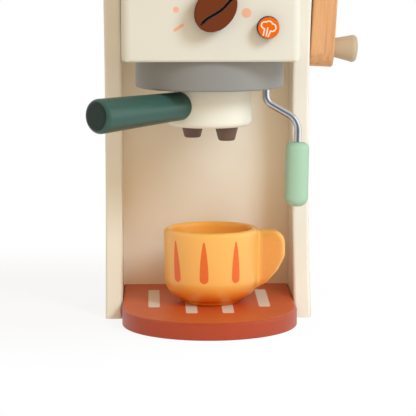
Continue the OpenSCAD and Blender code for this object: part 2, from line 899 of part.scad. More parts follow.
module crank_collar() {
  color(pale_wood) on_crank() translate([inner_half - collar_gap - collar_t, 0, 0]) along_x()
    ring(collar_d, axle_d + 2*press_fit, collar_t);
}

module on_knob() {
  on_crank() translate([arm_x + arm_t, 0, -crank_l]) along_x() children();
}

// Half outline of the crank knob: a taper whose rounded end runs on into a
// shallow dome
module knob_half() {
  end_r = 3;
  dome_r = 28;
  dome_c = [0, knob_l - dome_r];
  end_x = knob_d/2 - end_r;
  end_c = dome_c + [end_x, sqrt(pow(dome_r - end_r, 2) - end_x*end_x)];
  root = [knob_root_d/2, 0];
  intersection() {
    translate(dome_c) circle(dome_r);
    polygon([[0, 0], root, touch(root, end_c, end_r), end_c,
      dome_c + (end_c - dome_c)*(dome_r + cut)/(dome_r - end_r), [0, knob_l + 2*cut]]);
  }
  translate(end_c) circle(end_r);
}

module crank_knob() {
  color(latte) on_knob() translate([0, 0, face_gap]) difference() {
    rotate_extrude() knob_half();
    translate([0, 0, -cut]) cylinder(d = knob_screw_d + 2*run_fit, h = knob_l + 2*cut);
    translate([0, 0, knob_l - knob_recess_h]) cylinder(d = knob_recess_d, h = knob_recess_h + cut);
  }
}

module knob_screw() {
  seat = face_gap + knob_l - knob_recess_h + run_fit;
  color(bright_steel) on_knob() {
    translate([0, 0, -knob_screw_in_arm + press_fit])
      cylinder(d = knob_screw_d, h = knob_screw_in_arm + seat);
    translate([0, 0, seat]) difference() {
      rotate_extrude() bar_half(knob_screw_head_d/2, knob_screw_head_h, 0, 1);
      translate([0, 0, knob_screw_head_h]) cross_recess(knob_screw_head_d);
    }
  }
}

// -------------------------------------------------------------------- cup

module on_cup() {
  translate([cup_x, cup_y, cup_z]) children();
}

// Outer half outline of the cup as a filled shape, from the foot to the rim's
// middle, with room all round it
module cup_half(room = 0) {
  wall_r = cup_d/2 - cup_taper + room;
  square([cup_foot_d/2 + room, wall_z]);
  polygon([[0, wall_z], [wall_r, wall_z], [cup_d/2 + room, rim_z], [0, rim_z]]);
  intersection() {
    translate([wall_r - room - belly_r, wall_z]) circle(belly_r + room);
    square([wall_r, wall_z]);
  }
}

// Half outline of the hollow inside the cup
module bowl_half() {
  top_r = cup_d/2 - rim_t;
  low_r = top_r - bowl_taper;
  low_z = cup_floor_t + bowl_r;
  polygon([[0, low_z], [low_r, low_z], [top_r, rim_z], [top_r, cup_h + cut], [0, cup_h + cut]]);
  translate([0, cup_floor_t]) square([low_r - bowl_r, bowl_r]);
  translate([low_r - bowl_r, low_z]) circle(bowl_r);
}

module cup_body() {
  recess_r = cup_foot_d/2 - foot_ring_w;
  color(cup_orange) on_cup() rotate_extrude() {
    difference() {
      cup_half();
      bowl_half();
      translate([-cut, -cut]) square([recess_r + cut, cup_recess + cut]);
    }
    translate([cup_d/2 - rim_t/2, rim_z]) circle(d = rim_t);
  }
}

// Round-edged disc of the cup's handle, lying in the XZ plane
module ear_disc(x, drop, r) {
  $fn = 32;
  translate([ear_x + x, ear_t/2, cup_h - drop]) rotate([90, 0, 0])
    rotate_extrude() bar_half(r, ear_t, ear_soft_r, ear_soft_r);
}

module cup_handle() {
  color(cup_orange) on_cup() difference() {
    hull() for (d = ear_discs) ear_disc(d[0], d[1], d[2]);
    rotate_extrude() cup_half(press_fit);
    translate([0, 0, rim_z - eps]) cylinder(d = cup_d + 2*press_fit, h = cup_h);
  }
}

left_side_panel();
right_side_panel();
back_panel();
base_board();
housing_front();
housing_floor();
housing_left_cheek();
housing_right_cheek();
housing_top();
frame_dowels();
group_head();
group_head_screws();
portafilter_body();
portafilter_handle();
handle_dowel();
left_spout();
right_spout();
pivot_bolt();
pivot_washer();
pivot_nut();
wand_wire();
wand_grip();
wand_retainer();
bean_knob();
bean_shaft();
bean_retainer();
steam_button();
button_flange();
button_spring();
spring_block();
crank_arm();
crank_axle();
crank_bush();
crank_spacer();
crank_collar();
crank_knob();
knob_screw();
cup_body();
cup_handle();
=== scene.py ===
# %% [markdown]
# # A painted wooden coffee maker to play with
#
# The toy is a tall box of painted boards with an open bay in its front. A
# grey disc, a portafilter with a green handle and a bent steam wand hang
# under the box at the top, and an orange cup stands on a round-fronted base.
# The boards, rods and screws come ready made in their true sizes, so this
# lesson is about the rest: the light, the paint, the printed marks, the wood,
# the steel, and two pieces that are worth modelling by hand, the cup and the
# wire of the steam wand.
#
# One unit is one metre. X runs to the right of the toy, Y to its back and Z
# up, and the toy stands on Z = 0.

# %% Load the frame
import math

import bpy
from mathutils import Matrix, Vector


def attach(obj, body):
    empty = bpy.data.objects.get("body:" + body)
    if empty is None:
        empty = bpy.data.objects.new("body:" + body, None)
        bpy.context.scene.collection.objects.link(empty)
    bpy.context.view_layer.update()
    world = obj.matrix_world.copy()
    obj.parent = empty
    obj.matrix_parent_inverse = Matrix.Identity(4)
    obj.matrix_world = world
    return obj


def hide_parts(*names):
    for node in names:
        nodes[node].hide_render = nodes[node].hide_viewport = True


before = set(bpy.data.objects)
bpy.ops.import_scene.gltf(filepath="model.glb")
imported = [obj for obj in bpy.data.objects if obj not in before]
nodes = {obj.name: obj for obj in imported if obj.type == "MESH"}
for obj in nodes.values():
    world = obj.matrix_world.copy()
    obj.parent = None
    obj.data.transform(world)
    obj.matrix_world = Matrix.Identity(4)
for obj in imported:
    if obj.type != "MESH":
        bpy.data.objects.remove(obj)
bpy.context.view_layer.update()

# %% [markdown]
# A maker measures in millimetres and Blender counts in metres, so the pieces'
# sizes are written in millimetres and multiplied by MM, while the camera, the
# lamps and the floor are placed in metres. Blender's operators act on all that
# is selected, so everything is deselected before the first piece is made.

MM = 0.001
bpy.ops.object.select_all(action="DESELECT")

# %% [markdown]
# ## The camera
#
# The camera stands 1.4 m in front of the toy, a little left of its middle and
# at the height of its top, and looks slightly down. A long lens keeps the
# upright boards nearly parallel, so that the box reads as a box. A Track To
# constraint could aim it, but three plain rotations leave each number its
# meaning: to the right, down, and a hair of roll.

# %% Camera
CAMERA_PLACE = (-0.0393, -1.3996, 0.2699)
CAMERA_TO_RIGHT, CAMERA_DOWN, CAMERA_ROLL = 1.592, 7.793, -0.097
CAMERA_LENS = 175.15


def stand_camera():
    """A camera that looks along +Y, turned, tipped and put in its place."""
    camera = bpy.data.objects.new("camera", bpy.data.cameras.new("camera"))
    bpy.context.scene.collection.objects.link(camera)
    camera.data.lens = CAMERA_LENS
    camera.matrix_world = (
        Matrix.Translation(CAMERA_PLACE)
        @ Matrix.Rotation(math.radians(-CAMERA_TO_RIGHT), 4, "Z")
        @ Matrix.Rotation(math.radians(90 - CAMERA_DOWN), 4, "X")
        @ Matrix.Rotation(math.radians(CAMERA_ROLL), 4, "Z")
    )
    bpy.context.scene.camera = camera
    return camera


camera = stand_camera()
print("camera stands", round(camera.location.length, 3), "m from the toy")

# %% [markdown]
# ## Shader maths as plain sums
#
# Every finish here is made of nodes: noise and distances that end in a colour,
# a roughness and a small relief. Wiring them by hand hides what they do. So
# one small class wraps a socket, and a sum written in Python becomes the Math
# nodes that do it: `1 - mask` is a Subtract node.

# %% A socket that does sums
class Wire:
    """A value on its way through a material."""

    def __init__(self, coat, socket):
        self.coat, self.socket = coat, socket

    def math(self, operation, *values):
        return self.coat.node("Math", {"operation": operation}, *values)

    def __add__(self, other):
        return self.math("ADD", self, other)

    def __radd__(self, other):
        return self.math("ADD", other, self)

    def __sub__(self, other):
        return self.math("SUBTRACT", self, other)

    def __rsub__(self, other):
        return self.math("SUBTRACT", other, self)

    def __mul__(self, other):
        return self.math("MULTIPLY", self, other)

    def __truediv__(self, other):
        return self.math("DIVIDE", self, other)

    def __neg__(self):
        return self.math("MULTIPLY", self, -1)

    def __abs__(self):
        return self.math("ABSOLUTE", self)

    def least(self, other):
        return self.math("MINIMUM", self, other)

    def most(self, other):
        return self.math("MAXIMUM", self, other)

    def clamped(self, low, high):
        return self.most(low).least(high)

    def over(self, start, end):
        """0 where the value is at start, 1 at end, and a soft step between."""
        settings = {"interpolation_type": "SMOOTHSTEP"}
        return self.coat.node("MapRange", settings, self, start, end, 0.0, 1.0)


# %% [markdown]
# The second class is the finish itself. Its shader is the Principled BSDF that
# Blender puts into each new material, and its coordinates are the object's
# own, in metres, which stay with a piece when it moves. `coat.node` makes any
# other node from its type, its settings and what goes into it, and gives back
# its first output, unless `out` names another.

# %% A material and its one way to make a node
class Coat:
    """A finish in the making: a material, its shader and its coordinates."""

    def __init__(self, name):
        self.material = bpy.data.materials.new(name)
        self.material.use_nodes = True
        self.tree = self.material.node_tree
        self.shader = self.tree.nodes["Principled BSDF"]
        self.place = self.node("TexCoord", {}, out="Object")

    def plug(self, socket, value):
        if isinstance(value, Wire):
            self.tree.links.new(value.socket, socket)
        elif socket.type == "RGBA" and len(value) == 3:
            socket.default_value = (*value, 1.0)
        else:
            socket.default_value = value

    def node(self, kind, settings, *values, out=0, **named):
        """A shader node of that kind, set up first and then wired."""
        made = self.tree.nodes.new("ShaderNode" + kind)
        for name, value in settings.items():
            setattr(made, name, value)
        for key, value in [*enumerate(values), *named.items()]:
            self.plug(made.inputs[key], value)
        return Wire(self, made.outputs[out])

    def set(self, **sockets):
        """Values or wires for the shader, with _ for a space in a name."""
        for name, value in sockets.items():
            self.plug(self.shader.inputs[name.replace("_", " ")], value)


# %% [markdown]
# A few words that every finish uses: a colour written as in a paint chart,
# noise of a size given in millimetres, a blend of two colours by a mask, a
# relief whose height is in millimetres too, and a turn of the coordinates for
# grain that doesn't run upright. A colour code is meant for a screen, so it
# goes through the screen's own curve to become an amount of light. A Mix node
# has a set of sockets for each kind of value, so those for colours are picked
# by their numbers.

# %% The words of the finishes
MIX_FACTOR, MIX_OFF, MIX_ON = 0, 6, 7
MIX_COLOUR = 2


def paint_chart(code):
    """The linear colour of a code such as EDE6D0."""
    parts = [int(code[i : i + 2], 16) / 255 for i in (0, 2, 4)]
    return tuple(c / 12.92 if c <= 0.04045 else ((c + 0.055) / 1.055) ** 2.4 for c in parts)


def noise(coat, size_mm, detail=2.0, where=None, rough=0.5):
    """Soft noise from 0 to 1 whose lumps are about size_mm wide."""
    return coat.node(
        "TexNoise", {}, Vector=where or coat.place,
        Scale=1 / (size_mm * MM), Detail=detail, Roughness=rough,
    )


def blend(coat, mask, off, on):
    """The colour off where mask is 0, and on where it is 1."""
    made = coat.node("Mix", {"data_type": "RGBA"}, out=MIX_COLOUR)
    inputs = made.socket.node.inputs
    coat.plug(inputs[MIX_FACTOR], mask)
    coat.plug(inputs[MIX_OFF], off)
    coat.plug(inputs[MIX_ON], on)
    return made


def shaded(colour, factor):
    """A colour made lighter or darker by a plain factor."""
    return tuple(min(1.0, c * factor) for c in colour)


def relief(coat, height, height_mm, normal):
    """A bump of that height on a normal, from a value between 0 and 1."""
    return coat.node("Bump", {}, Height=height, Distance=height_mm * MM, Normal=normal)


def axes(coat):
    """The X, Y and Z of a point in millimetres, as three values."""
    outputs = coat.node("SeparateXYZ", {}, coat.place).socket.node.outputs
    return [Wire(coat, outputs[i]) / MM for i in range(3)]


def turned_by(coat, turn):
    """The object's coordinates after turns in degrees about X, Y and Z."""
    angles = [math.radians(degrees) for degrees in turn]
    settings = {"rotation_type": "EULER_XYZ"}
    return coat.node("VectorRotate", settings, Vector=coat.place, Rotation=angles)


print("cream in linear light:", [round(c, 3) for c in paint_chart("EDE6D0")])

# %% [markdown]
# ## Light
#
# The toy stands in a white room. A wide, cool disc lamp hangs to the right, in
# front and above, and gives the soft shadows. A weak warm Sun lamp from the
# front, with a very wide disc, fills them, and the room adds a warm light from
# all round. One lamp would be simpler, but its shadows would be dark and all
# of one tone. Neither lamp shows in gloss, because the big one's reflection
# would wash out the top board and the base when they are seen from behind.

# %% Lamps
TOY_MIDDLE = Vector((0.0, -0.03, 0.14))
KEY_FROM = Vector((0.53, -0.66, 0.53)).normalized()
KEY_DISTANCE = 0.9
KEY_WIDTH = 0.32
KEY_WATTS = 4.0
KEY_COLOUR = (0.78, 0.99, 1.22)
FRONT_FROM = Vector((0.1, -0.9, 0.3))
FRONT_STRENGTH = 0.54
FRONT_COLOUR = (1.0, 0.68, 0.4)
FRONT_SOFTNESS = 45


def hang_lamp(name, kind, towards):
    """A lamp that shines from that direction, and that no gloss shows."""
    lamp = bpy.data.objects.new(name, bpy.data.lights.new(name, kind))
    lamp.rotation_euler = towards.to_track_quat("Z", "Y").to_euler()
    lamp.visible_glossy = False
    bpy.context.scene.collection.objects.link(lamp)
    return lamp


def hang_key():
    """The big cool lamp that makes the shadows."""
    lamp = hang_lamp("key_lamp", "AREA", KEY_FROM)
    lamp.location = TOY_MIDDLE + KEY_FROM * KEY_DISTANCE
    lamp.data.shape = "DISK"
    lamp.data.size = KEY_WIDTH
    lamp.data.energy = KEY_WATTS
    lamp.data.color = KEY_COLOUR


def hang_front():
    """The weak warm light that fills them."""
    lamp = hang_lamp("front_lamp", "SUN", FRONT_FROM)
    lamp.data.angle = math.radians(FRONT_SOFTNESS)
    lamp.data.energy = FRONT_STRENGTH
    lamp.data.color = FRONT_COLOUR


hang_key()
hang_front()
print("key lamp", KEY_DISTANCE, "m away,", KEY_WATTS, "W")

# %% [markdown]
# The room is the world's background. Walls modelled round the toy would do
# much the same, but they would stand in the way of a camera that goes round
# it. What the room lights with and how it looks are two things here: a Light
# Path node tells the rays apart, so the toy is lit by the warm tone, while the
# camera, gloss and glass see plain white.

# %% Room
ROOM_LIGHT = (0.6, 0.535, 0.445)


def paint_room():
    """A world that lights with ROOM_LIGHT, and looks white also in gloss."""
    world = bpy.data.worlds.new("white_room")
    world.use_nodes = True
    bpy.context.scene.world = world
    tree = world.node_tree
    path = tree.nodes.new("ShaderNodeLightPath")
    seen = path.outputs["Is Camera Ray"]
    for ray in ("Is Transmission Ray", "Is Glossy Ray"):
        either = tree.nodes.new("ShaderNodeMath")
        either.operation = "MAXIMUM"
        tree.links.new(seen, either.inputs[0])
        tree.links.new(path.outputs[ray], either.inputs[1])
        seen = either.outputs[0]
    light = tree.nodes.new("ShaderNodeBackground")
    light.inputs["Color"].default_value = (*ROOM_LIGHT, 1)
    white = tree.nodes.new("ShaderNodeBackground")
    white.inputs["Color"].default_value = (1, 1, 1, 1)
    both = tree.nodes.new("ShaderNodeMixShader")
    tree.links.new(seen, both.inputs[0])
    tree.links.new(light.outputs[0], both.inputs[1])
    tree.links.new(white.outputs[0], both.inputs[2])
    tree.links.new(both.outputs[0], tree.nodes["World Output"].inputs["Surface"])


paint_room()
bpy.context.scene.view_settings.view_transform = "Standard"
print("room lights with", ROOM_LIGHT, "and looks white")

# %% [markdown]
# Two cards stand beside the toy, and only reflections see them, so they put no
# light on it and throw no shadow. A dim one in front keeps the white floor out
# of the faces that look forward: their colours stay deep, and it draws a grey
# line along bright steel. A bright one on the right puts a soft highlight on
# everything round. Lamps that show in gloss would do it too, but a card's
# reflection can be placed without a change to the light.

# %% Cards
DARK_CARD = {"size": (0.8, 1.0), "at": (-0.05, -0.55, 0.5), "turn": 0}
DARK_GLOW = 0.25
BRIGHT_CARD = {"size": (0.5, 0.7), "at": (0.75, -0.2, 0.3), "turn": 90}
BRIGHT_GLOW = 2.2
CARD_BLACK = (0.01, 0.01, 0.01)
WHITE = (1.0, 1.0, 1.0)


def hang_card(name, glow, size, at, turn):
    """An upright card that only reflections can see."""
    standing = (math.radians(90), 0, math.radians(turn))
    bpy.ops.mesh.primitive_plane_add(size=1, location=at, rotation=standing)
    card = bpy.context.active_object
    card.name = name
    card.scale = (*size, 1)
    coat = Coat(name)
    coat.set(
        Base_Color=CARD_BLACK, Roughness=1.0, Specular_IOR_Level=0.0,
        Emission_Color=WHITE, Emission_Strength=glow,
    )
    card.data.materials.append(coat.material)
    card.visible_camera = False
    card.visible_diffuse = False
    card.visible_transmission = False
    card.visible_shadow = False


hang_card("dark_card", DARK_GLOW, **DARK_CARD)
hang_card("bright_card", BRIGHT_GLOW, **BRIGHT_CARD)
print("cards glow with", DARK_GLOW, "and", BRIGHT_GLOW)

# %% [markdown]
# ## The floor
#
# The floor takes the toy's shadow as any matt floor does, but the camera sees
# it mostly lit by itself, so it comes out white with no more light on the toy.
# Behind and to the left, where the shadow falls, that glow is a little weaker,
# which lets the shadow show. The floor lies a tenth of a millimetre low, so
# that it and the toy's underside never share a plane.

# %% Floor
FLOOR_HALF = 12.0
FLOOR_GAP = 0.1 * MM
FLOOR_COLOUR = (0.95, 0.95, 0.95)
FLOOR_ROUGH = 0.9
FLOOR_SHADOW = 0.18
SHADOW_MIDDLE = (-0.14, 0.08, 0.0)
SHADOW_REACH = (0.06, 0.28)


def lay_floor():
    """A white floor that keeps a faint shadow of the toy."""
    under_toy = (0, 0, -FLOOR_GAP)
    bpy.ops.mesh.primitive_plane_add(size=2 * FLOOR_HALF, location=under_toy)
    floor = bpy.context.active_object
    floor.name = "floor"
    coat = Coat("floor_white")
    coat.set(Base_Color=FLOOR_COLOUR, Roughness=FLOOR_ROUGH)
    glow = coat.node("Emission", {}, WHITE, 1.0)
    camera_ray = coat.node("LightPath", {}, out="Is Camera Ray")
    rays = camera_ray.socket.node.outputs
    glossy = Wire(coat, rays["Is Glossy Ray"])
    through = Wire(coat, rays["Is Transmission Ray"])
    settings = {"operation": "DISTANCE"}
    away = coat.node("VectorMath", settings, coat.place, SHADOW_MIDDLE, out="Value")
    shadow = (1 - away.over(*SHADOW_REACH)) * FLOOR_SHADOW
    seen = camera_ray.most(glossy).most(through) * (1 - shadow)
    mixed = coat.node("MixShader", {}, seen, Wire(coat, coat.shader.outputs[0]), glow)
    out = coat.tree.nodes["Material Output"]
    coat.tree.links.new(mixed.socket, out.inputs["Surface"])
    floor.data.materials.append(coat.material)
    return floor


floor = lay_floor()
print("floor", floor.dimensions.x, "m wide")

# %% [markdown]
# ## The cup
#
# The cup is turned from one block, and its handle is cut from board, rounded
# over, glued on and sanded until no joint shows. So the model is made in the
# same two parts and then fused. The turned part needs only the outline of one
# side of the cup: a foot, a belly, a nearly straight wall, a rim, and a bowl
# inside. The belly, the rim and the turn into the bowl's floor are arcs, and
# one helper draws all three from a middle, a radius and two angles.

# %% Outline of the cup
CUP_AT = Vector((2.0, 1.5, 12.0)) * MM
CUP_SIDES = 160
UNDERSIDE = (16.8, 1.2)


def arc(middle, radius, start, end, steps):
    """Points (radius, height) along an arc, with the angles in degrees."""
    turns = [math.radians(start + (end - start) * i / steps) for i in range(steps + 1)]
    return [
        (middle[0] + radius * math.cos(turn), middle[1] + radius * math.sin(turn))
        for turn in turns
    ]


foot = [(16.8, 0.0), (19.3, 0.0), (19.8, 0.5)]
belly = arc((16.8, 17.8), 16.0, -79, 0, 16)
rim = arc((30.4, 49.6), 2.9, 0, 180, 14)
bowl = arc((15.5, 17.0), 9.0, 0, -90, 10)
bowl_floor = [(6.0, 8.0)]
cup_outline = foot + belly + rim + bowl + bowl_floor
rim_height = max(height for radius, height in cup_outline)
print(len(cup_outline), "rings, rim at", round(rim_height, 1), "mm")

# %% [markdown]
# Spin or a Screw modifier would turn that outline too, but both leave points
# on the axis that have to be merged. Here a disc starts in the hollow of the
# underside and is pushed on and scaled, ring by ring: out over the foot, up
# the belly and the wall, over the rim and down into the bowl. It ends as the
# bowl's floor, so the mesh is closed all round.

# %% Turn the cup
def turned(name, first, outline):
    """A turned piece: a disc whose edge is drawn out ring by ring."""
    radius, height = first
    bpy.ops.mesh.primitive_circle_add(
        vertices=CUP_SIDES, radius=radius * MM, fill_type="NGON",
        location=CUP_AT + Vector((0, 0, height * MM)),
    )
    piece = bpy.context.active_object
    piece.name = name
    bpy.ops.object.mode_set(mode="EDIT")
    bpy.ops.mesh.select_all(action="SELECT")
    for r, z in outline:
        rise = {"value": (0, 0, (z - height) * MM)}
        bpy.ops.mesh.extrude_region_move(TRANSFORM_OT_translate=rise)
        grow = r / radius
        bpy.ops.transform.resize(value=(grow, grow, 1), center_override=CUP_AT)
        radius, height = r, z
    bpy.ops.mesh.select_all(action="SELECT")
    bpy.ops.mesh.normals_make_consistent(inside=False)
    bpy.ops.object.mode_set(mode="OBJECT")
    bpy.ops.object.transform_apply()
    return piece


cup = turned("cup", UNDERSIDE, cup_outline)
print("turned cup:", len(cup.data.polygons), "faces")

# %% [markdown]
# The handle is drawn as six discs that a tight band would run round, and
# Blender's convex hull is that band. A bevelled curve would give a round
# cord, but this handle is a flat board. The hull's two flat sides meet its rim
# in a sharp edge, and a wide bevel rounds that edge over as a router bit does.
# A cut upright through the wall of the cup keeps the handle out of the bowl.

# %% Cut the handle
HANDLE_THICK = 14.0
HANDLE_ROUND = 4.2
HANDLE_CUT = 29.0
DISC_SIDES = 72
ROUNDING_STEPS = 10
FLAT_WITHIN = math.radians(1)
SHARP_FROM = math.radians(60)
HANDLE_DISCS = [
    ((30, 43.7), 7.0), ((42.2, 41.5), 9.2), ((42, 34.5), 9.4),
    ((38.5, 27.5), 9.4), ((33, 21), 9.2), ((26, 15.5), 7.4),
]


def banded(name, discs, thick, rounding):
    """A flat piece with a rounded edge, round which a band would run."""
    for number, ((x, z), radius) in enumerate(discs):
        bpy.ops.mesh.primitive_cylinder_add(
            vertices=DISC_SIDES, radius=radius * MM, depth=thick * MM,
            location=CUP_AT + Vector((x, 0, z)) * MM,
            rotation=(math.radians(90), 0, 0),
        )
        if number == 0:
            piece = bpy.context.active_object
            piece.name = name
            bpy.ops.object.mode_set(mode="EDIT")
    bpy.ops.mesh.select_all(action="SELECT")
    bpy.ops.mesh.convex_hull()
    bpy.ops.mesh.select_all(action="SELECT")
    bpy.ops.mesh.dissolve_limited(angle_limit=FLAT_WITHIN)
    bpy.ops.mesh.select_all(action="DESELECT")
    bpy.ops.mesh.select_mode(type="EDGE")
    bpy.ops.mesh.edges_select_sharp(sharpness=SHARP_FROM)
    bpy.ops.mesh.bevel(offset=rounding * MM, segments=ROUNDING_STEPS, profile=0.5)
    bpy.ops.mesh.select_all(action="SELECT")
    return piece


ear = banded("cup_ear", HANDLE_DISCS, HANDLE_THICK, HANDLE_ROUND)
bpy.ops.mesh.bisect(
    plane_co=CUP_AT + Vector((HANDLE_CUT * MM, 0, 0)), plane_no=(1, 0, 0),
    use_fill=True, clear_inner=True,
)
bpy.ops.object.mode_set(mode="OBJECT")
bpy.ops.object.transform_apply()
ear_width = round(ear.dimensions.x / MM, 1)
print("handle:", len(ear.data.polygons), "faces,", ear_width, "mm wide")

# %% [markdown]
# A Boolean union would join the two parts, but it leaves a hard crease where
# they meet. A voxel remesh keeps only the outer skin of both and covers it
# with small even faces, which can be sanded: the points round the joint are
# relaxed again and again, until a small hollow runs between handle and wall.
# Two light rounds over the whole cup take off the remesh's own steps.

# %% Fuse and sand the joint
VOXEL = 0.62
SANDED_OUT = (29.5, 35.6)
SANDED_HALF = 9.0
SAND_ROUNDS = 25
LIGHT_ROUNDS = 2
SAND_PRESSURE = 0.5


def fused(first, second):
    """Both pieces in one skin."""
    bpy.ops.object.select_all(action="DESELECT")
    second.select_set(True)
    first.select_set(True)
    bpy.context.view_layer.objects.active = first
    bpy.ops.object.join()
    remesh = first.modifiers.new("skin", "REMESH")
    remesh.mode = "VOXEL"
    remesh.voxel_size = VOXEL * MM
    bpy.ops.object.modifier_apply(modifier="skin")
    return first


def sand_joint(piece, rounds):
    """Relax the skin of the wall on the handle's side, then all of it a little."""
    mesh = piece.data
    bpy.ops.object.mode_set(mode="EDIT")
    bpy.ops.mesh.select_mode(type="VERT")
    bpy.ops.mesh.select_all(action="DESELECT")
    bpy.ops.object.mode_set(mode="OBJECT")
    for vertex in mesh.vertices:
        x, y = ((vertex.co - CUP_AT) / MM).xy
        out = math.hypot(x, y)
        near_wall = SANDED_OUT[0] < out < SANDED_OUT[1]
        vertex.select = x > 0 and near_wall and abs(y) < SANDED_HALF
    bpy.ops.object.mode_set(mode="EDIT")
    bpy.ops.mesh.vertices_smooth(factor=SAND_PRESSURE, repeat=rounds)
    bpy.ops.mesh.select_all(action="SELECT")
    bpy.ops.mesh.vertices_smooth(factor=SAND_PRESSURE, repeat=LIGHT_ROUNDS)
    bpy.ops.object.mode_set(mode="OBJECT")
    bpy.ops.object.shade_smooth()


cup = fused(cup, ear)
sand_joint(cup, SAND_ROUNDS)
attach(cup, "cup")
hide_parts("cup_body", "cup_handle")
print("fused cup:", len(cup.data.polygons), "faces")

# %% [markdown]
# ## The wand's wire
#
# The wand is bent from one piece of steel wire on a jig: straight down, round
# a pin, straight on, round a second pin the other way, and down into the
# grip. A curve with a round bevel would look much the same, but here each
# bend has the true radius of its pin. A ring of points is extruded for each
# straight run, and Spin carries it round each pin. The grip leans a little to
# the left, so the second bend turns that much further than the first.

# %% Bend the wand
WIRE_RADIUS = 2.5
WIRE_TOP = Vector((38.6, -23.5, 199.0)) * MM
KNEE_DROP = 44.4
WAND_SLOPE = 60.0
GRIP_LEAN = 1.2
WAND_RUN = 25.56
KNEE_PIN, ELBOW_PIN = 8.0, 13.0
INTO_GRIP = 35.0
WIRE_SIDES = 40
BEND_STEPS = 14
SMOOTH_UP_TO = 35.0


def push_on(direction, length_mm):
    """A straight run: the ring at the end is drawn on."""
    run = {"value": direction * length_mm * MM}
    bpy.ops.mesh.extrude_region_move(TRANSFORM_OT_translate=run)


def cut_off(before, after, radius):
    """How far before its corner a bend of that radius starts."""
    return radius * math.tan(before.angle(after) / 2)


def round_pin(corner, before, after, radius):
    """A bend: the ring at the end goes round a pin, to leave along after."""
    inward = (after - before).normalized()
    pin = corner + inward * MM * math.hypot(radius, cut_off(before, after, radius))
    upright = after.cross(before).normalized()
    turn = before.angle(after)
    bpy.ops.mesh.spin(steps=BEND_STEPS, angle=turn, center=pin, axis=upright)


def bent_wire(name, down, slope, grip):
    """Wire that runs down, along the slope and into the grip."""
    bpy.ops.mesh.primitive_circle_add(
        vertices=WIRE_SIDES, radius=WIRE_RADIUS * MM, location=WIRE_TOP
    )
    piece = bpy.context.active_object
    piece.name = name
    bpy.ops.object.mode_set(mode="EDIT")
    bpy.ops.mesh.select_all(action="SELECT")
    knee = WIRE_TOP + down * KNEE_DROP * MM
    elbow = knee + slope * WAND_RUN * MM
    first, second = cut_off(down, slope, KNEE_PIN), cut_off(slope, grip, ELBOW_PIN)
    push_on(down, KNEE_DROP - first)
    round_pin(knee, down, slope, KNEE_PIN)
    push_on(slope, WAND_RUN - first - second)
    round_pin(elbow, slope, grip, ELBOW_PIN)
    push_on(grip, INTO_GRIP - second)
    bpy.ops.mesh.select_all(action="SELECT")
    bpy.ops.mesh.fill_holes(sides=0)
    bpy.ops.mesh.select_all(action="SELECT")
    bpy.ops.mesh.normals_make_consistent(inside=False)
    bpy.ops.object.mode_set(mode="OBJECT")
    bpy.ops.object.transform_apply()
    bpy.ops.object.shade_smooth_by_angle(angle=math.radians(SMOOTH_UP_TO))
    return piece


def way(turn):
    """Down, swung to the right of the toy by that many degrees."""
    return Vector((math.sin(math.radians(turn)), 0, -math.cos(math.radians(turn))))


wand = bent_wire("wand", way(0), way(WAND_SLOPE), way(-GRIP_LEAN))
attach(wand, "steam_wand")
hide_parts("wand_wire")
print("wire reaches from", [round(c / MM, 1) for c in wand.bound_box[0]])
print("to", [round(c / MM, 1) for c in wand.bound_box[6]])

# %% [markdown]
# ## Satin paint on board
#
# Most of the toy is wood under two coats of water-based satin paint. Close up
# it is never one flat colour: the tone drifts a little over a board, the
# roller leaves a very fine skin, the grain below shows as faint long hollows,
# and the paint thins over an edge, which then looks a touch paler. Such edges
# could be painted by hand on a UV map, but the Bevel node finds them: it gives
# the normal of a rounded edge, and where that turns away from the true normal,
# there is an edge. Grain is noise that is drawn out in one direction.

# %% Edges and grain
WEAR_WIDTH = 0.9
SOFT_WIDTH = 0.35
EDGE_FROM, EDGE_FULL = 0.02, 0.35
BEVEL_RAYS = 4


def soft_edge(coat, radius_mm):
    """The normal as it would be with every sharp edge rounded to that radius."""
    return coat.node("Bevel", {"samples": BEVEL_RAYS}, Radius=radius_mm * MM)


def thin_edge(coat):
    """1 on an edge and 0 on a flat, from how far a bevel turns the normal."""
    true = coat.node("NewGeometry", {}, out="Normal")
    rounded = soft_edge(coat, WEAR_WIDTH)
    same = coat.node("VectorMath", {"operation": "DOT_PRODUCT"}, true, rounded, out="Value")
    return (1 - same).over(EDGE_FROM, EDGE_FULL)


def streaks(coat, where, width_mm, length_mm, detail=3.0):
    """Noise drawn out along Z, as grain is: thin across and long."""
    settings = {"operation": "MULTIPLY"}
    squeezed = coat.node("VectorMath", settings, where, (1, 1, width_mm / length_mm))
    return noise(coat, width_mm, detail, squeezed)


print("edges wear over", WEAR_WIDTH, "mm and are rounded by", SOFT_WIDTH, "mm")

# %% [markdown]
# One function mixes the whole finish, because every painted piece has the same
# layers, and only tone, gloss, grain and marks differ. A mark that is printed
# on the paint comes in as a function that draws its mask, with the colour of
# its ink. It lies over the drift of the tone and under the wear of the edges.

# %% Satin paint
DRIFT_SIZE, DRIFT = 38, 0.04
FLECK_SIZE, FLECK = 2.5, 0.06
WORN = (1.0, 0.96, 0.88)
CLOUD_SIZE, CLOUD_GLOSS = 12, 0.14
SKIN_SIZE, SKIN_GLOSS, SKIN_SHARE = 0.8, 0.08, 0.6
GRAIN_WIDTH, GRAIN_LENGTH, GRAIN_SHARE = 1.2, 30, 0.4
SKIN_HEIGHT = 0.01


def speckled(coat, ink):
    """A printed colour with the faint flecks of its ink."""
    fleck = noise(coat, FLECK_SIZE, detail=3.0)
    return blend(coat, fleck, shaded(ink, 1 - FLECK), shaded(ink, 1 + FLECK))


